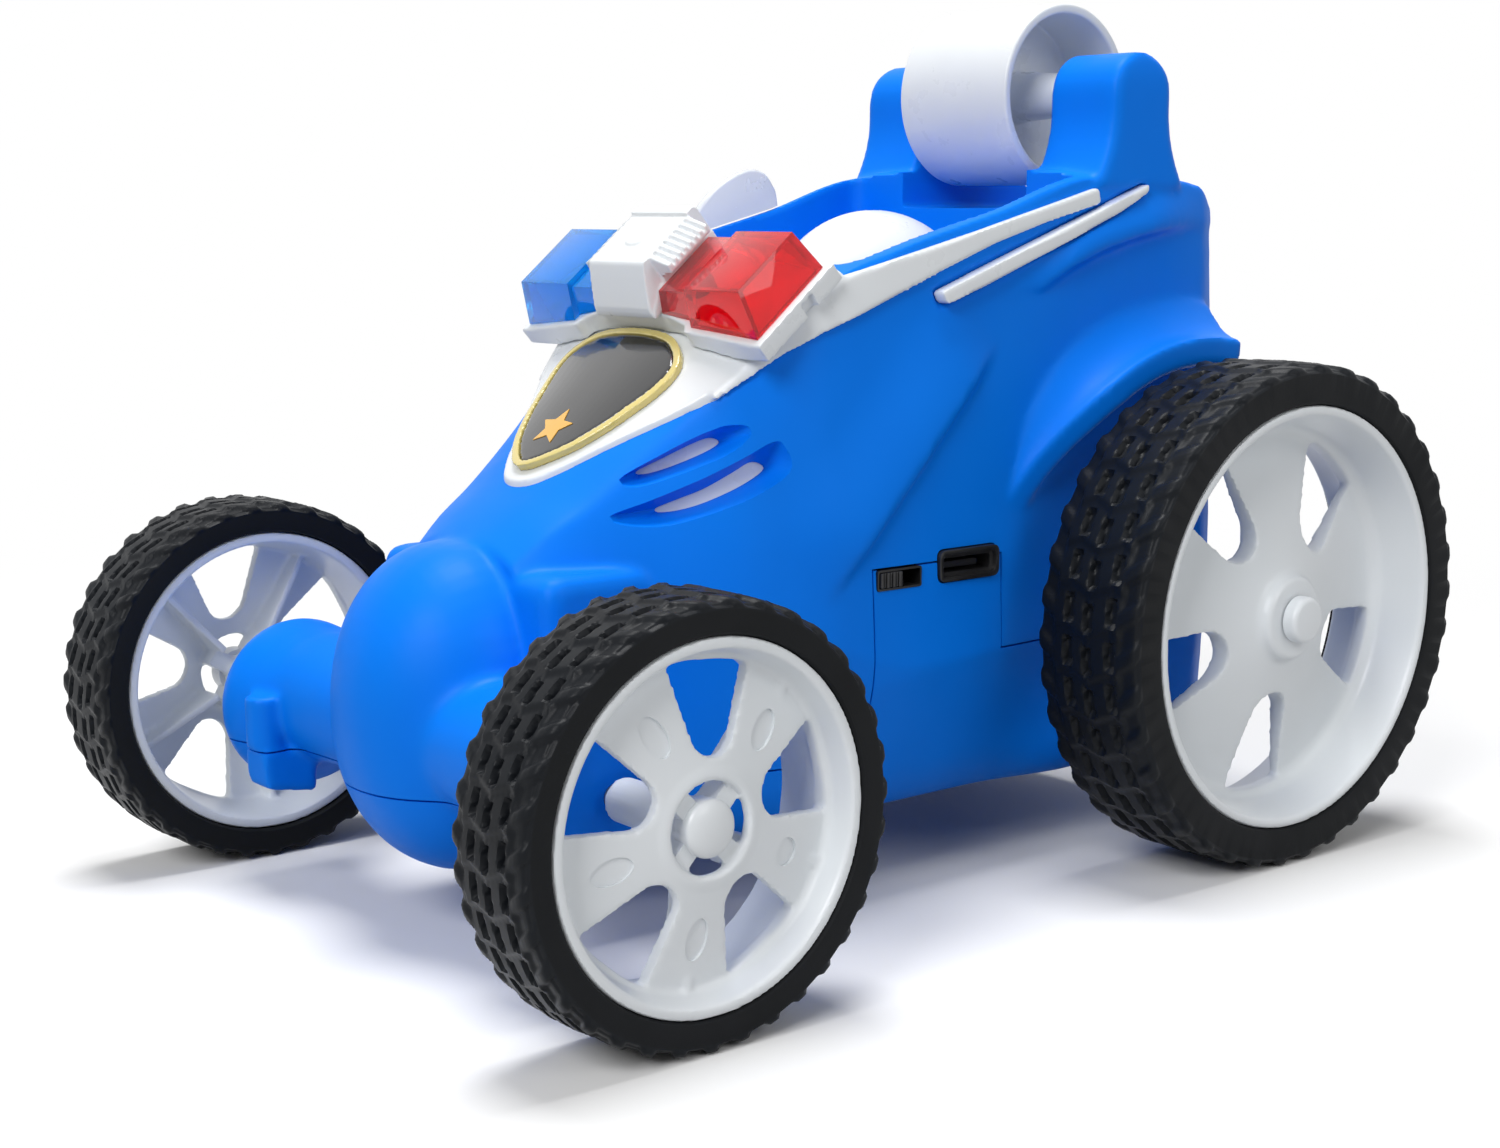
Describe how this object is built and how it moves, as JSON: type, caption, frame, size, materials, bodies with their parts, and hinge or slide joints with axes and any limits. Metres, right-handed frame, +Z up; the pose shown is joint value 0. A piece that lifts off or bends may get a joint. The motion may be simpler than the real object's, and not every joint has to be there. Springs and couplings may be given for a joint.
{
  "type": "rc stunt car",
  "caption": "Radio-controlled toy stunt car with a light bar on a sloping hood, open cockpit, large driven rear wheels, small front wheels and a free roller between rear towers.",
  "frame": {"origin": "on the ground under the middle of the car's overall box", "axes": "+Z up, the car faces -Y, its left side is +X"},
  "size_m": [0.1302, 0.1924, 0.136],
  "materials": {
    "blue_plastic": "semi-gloss moulded blue plastic",
    "white_plastic": "semi-gloss white plastic",
    "tyre_rubber": "black moulded rubber",
    "black_plastic": "matte black plastic",
    "red_lens": "clear red plastic",
    "blue_lens": "clear blue plastic",
    "pale_clear": "frosted clear plastic",
    "gold_print": "gold printed film",
    "steel": "drawn steel",
    "nylon": "natural nylon",
    "board_green": "green circuit board",
    "battery_wrap": "shrink-wrapped battery cells"
  },
  "bodies": {
    "base": {"upper_shell": "blue_plastic", "lower_chassis": "blue_plastic", "battery_door": "blue_plastic", "front_left_pin": "white_plastic", "front_right_pin": "white_plastic", "light_bar_base": "white_plastic", "siren_block": "white_plastic", "hood_trim": "white_plastic", "side_strip_left": "white_plastic", "side_strip_right": "white_plastic", "vent_insert_left": "white_plastic", "vent_insert_right": "white_plastic", "seat_hump": "white_plastic", "gear_plate_left": "white_plastic", "gear_plate_right": "white_plastic", "badge_field": "black_plastic", "charge_socket": "black_plastic", "lens_red": "red_lens", "lamp_red": "red_lens", "lens_blue": "blue_lens", "lamp_blue": "blue_lens", "side_fin": "pale_clear", "badge_rim": "gold_print", "roller_axle": "steel", "motor_left": "steel", "motor_right": "steel", "rear_left_bush": "nylon", "rear_right_bush": "nylon", "circuit_board": "board_green", "battery_pack": "battery_wrap"},
    "front_left_wheel": {"front_left_tyre": "tyre_rubber", "front_left_rim": "white_plastic"},
    "rear_left_wheel": {"rear_left_tyre": "tyre_rubber", "rear_left_rim": "white_plastic", "rear_left_hub_cap": "white_plastic", "rear_left_axle": "steel", "axle_gear_left": "nylon"},
    "idler_left": {"idler_gear_left": "nylon"},
    "pinion_body_left": {"pinion_left": "nylon"},
    "front_right_wheel": {"front_right_tyre": "tyre_rubber", "front_right_rim": "white_plastic"},
    "rear_right_wheel": {"rear_right_tyre": "tyre_rubber", "rear_right_rim": "white_plastic", "rear_right_hub_cap": "white_plastic", "rear_right_axle": "steel", "axle_gear_right": "nylon"},
    "idler_right": {"idler_gear_right": "nylon"},
    "pinion_body_right": {"pinion_right": "nylon"},
    "roller_drum": {"roller": "white_plastic"},
    "switch_knob": {"power_switch": "black_plastic"}
  },
  "joints": [
    {"name": "front_left_spin", "type": "hinge", "parent": "base", "child": "front_left_wheel", "pos_m": [0.0576, -0.0673, 0.0289], "axis": [1, 0, 0], "continuous": true},
    {"name": "rear_left_spin", "type": "hinge", "parent": "base", "child": "rear_left_wheel", "pos_m": [0.0491, 0.0562, 0.04], "axis": [1, 0, 0], "continuous": true},
    {"name": "idler_left_spin", "type": "hinge", "parent": "base", "child": "idler_left", "pos_m": [0.0196, 0.04529, 0.0463], "axis": [1, 0, 0], "continuous": true},
    {"name": "pinion_left_spin", "type": "hinge", "parent": "base", "child": "pinion_body_left", "pos_m": [0.0196, 0.03345, 0.05061], "axis": [1, 0, 0], "continuous": true},
    {"name": "front_right_spin", "type": "hinge", "parent": "base", "child": "front_right_wheel", "pos_m": [-0.0576, -0.0673, 0.0289], "axis": [1, 0, 0], "continuous": true},
    {"name": "rear_right_spin", "type": "hinge", "parent": "base", "child": "rear_right_wheel", "pos_m": [-0.0491, 0.0562, 0.04], "axis": [1, 0, 0], "continuous": true},
    {"name": "idler_right_spin", "type": "hinge", "parent": "base", "child": "idler_right", "pos_m": [-0.0196, 0.04529, 0.0463], "axis": [1, 0, 0], "continuous": true},
    {"name": "pinion_right_spin", "type": "hinge", "parent": "base", "child": "pinion_body_right", "pos_m": [-0.0196, 0.03345, 0.05061], "axis": [1, 0, 0], "continuous": true},
    {"name": "roller_spin", "type": "hinge", "parent": "base", "child": "roller_drum", "pos_m": [0, 0.0481, 0.1216], "axis": [1, 0, 0], "continuous": true},
    {"name": "switch_slide", "type": "slide", "parent": "base", "child": "switch_knob", "axis": [0, 1, 0], "range_m": [0, 0.003]}
  ],
  "couplings": [
    {"joint": "idler_left_spin", "follows": "rear_left_spin", "ratio": -2},
    {"joint": "pinion_left_spin", "follows": "rear_left_spin", "ratio": 4},
    {"joint": "idler_right_spin", "follows": "rear_right_spin", "ratio": -2},
    {"joint": "pinion_right_spin", "follows": "rear_right_spin", "ratio": 4}
  ]
}
